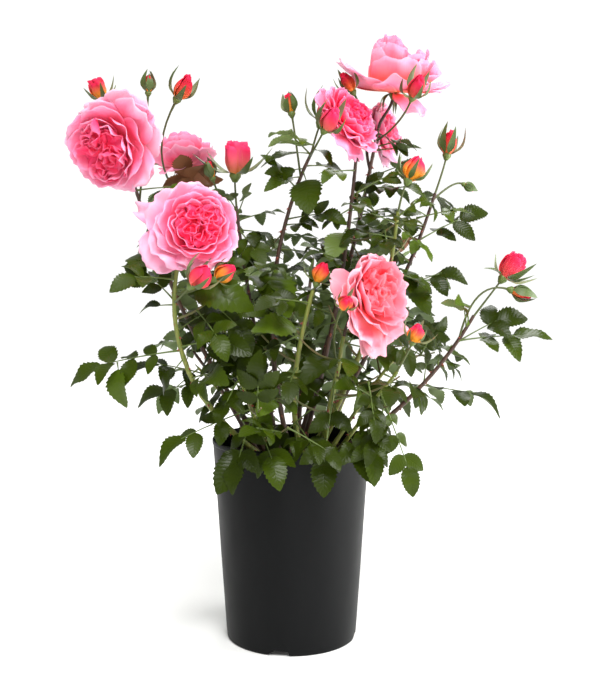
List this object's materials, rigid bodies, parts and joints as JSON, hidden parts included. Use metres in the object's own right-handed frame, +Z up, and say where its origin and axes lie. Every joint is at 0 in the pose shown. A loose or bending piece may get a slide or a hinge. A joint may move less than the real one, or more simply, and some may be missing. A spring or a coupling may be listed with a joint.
{
  "type": "rose bush",
  "caption": "Flowering shrub rose standing in its round black nursery pot, with open blooms, buds and leafy canes.",
  "frame": {"origin": "centre of the pot's flat underside", "axes": "+Z up through the pot and the crown, -Y towards the front, +X to the right"},
  "size_m": [0.5591, 0.4455, 0.7163],
  "materials": {
    "pot": "satin black moulded plastic",
    "compost": "moist dark potting compost",
    "bark": "green to red-brown rose cane with prickles",
    "foliage": "glossy dark green leaves",
    "petals": "soft coral-pink petals"
  },
  "bodies": {
    "root": {"pot": "pot", "compost": "compost", "cane_left_front": "bark", "foliage_left_front": "foliage", "cane_left_high": "bark", "foliage_left_high": "foliage", "cane_left_back": "bark", "foliage_left_back": "foliage", "cane_mid_left": "bark", "foliage_mid_left": "foliage", "cane_centre_high": "bark", "foliage_centre_high": "foliage", "cane_top": "bark", "foliage_top": "foliage", "cane_centre_top": "bark", "foliage_centre_top": "foliage", "cane_right_high": "bark", "foliage_right_high": "foliage", "cane_right_mid": "bark", "foliage_right_mid": "foliage", "cane_right_far": "bark", "foliage_right_far": "foliage", "cane_front_centre": "bark", "foliage_front_centre": "foliage", "cane_front_right": "bark", "foliage_front_right": "foliage", "cane_back_left": "bark", "foliage_back_left": "foliage", "cane_back_middle": "bark", "foliage_back_middle": "foliage", "cane_back_right": "bark", "foliage_back_right": "foliage", "cane_low_left": "bark", "foliage_low_left": "foliage", "cane_low_front_left": "bark", "foliage_low_front_left": "foliage", "cane_low_front_right": "bark", "foliage_low_front_right": "foliage", "cane_low_right": "bark", "foliage_low_right": "foliage", "cane_low_back_left": "bark", "foliage_low_back_left": "foliage", "cane_low_back_right": "bark", "foliage_low_back_right": "foliage", "bloom_left": "petals", "bloom_front_left": "petals", "bloom_back_left": "petals", "bloom_top": "petals", "bloom_centre": "petals", "bloom_behind": "petals", "bloom_front_right": "petals"}
  },
  "joints": []
}
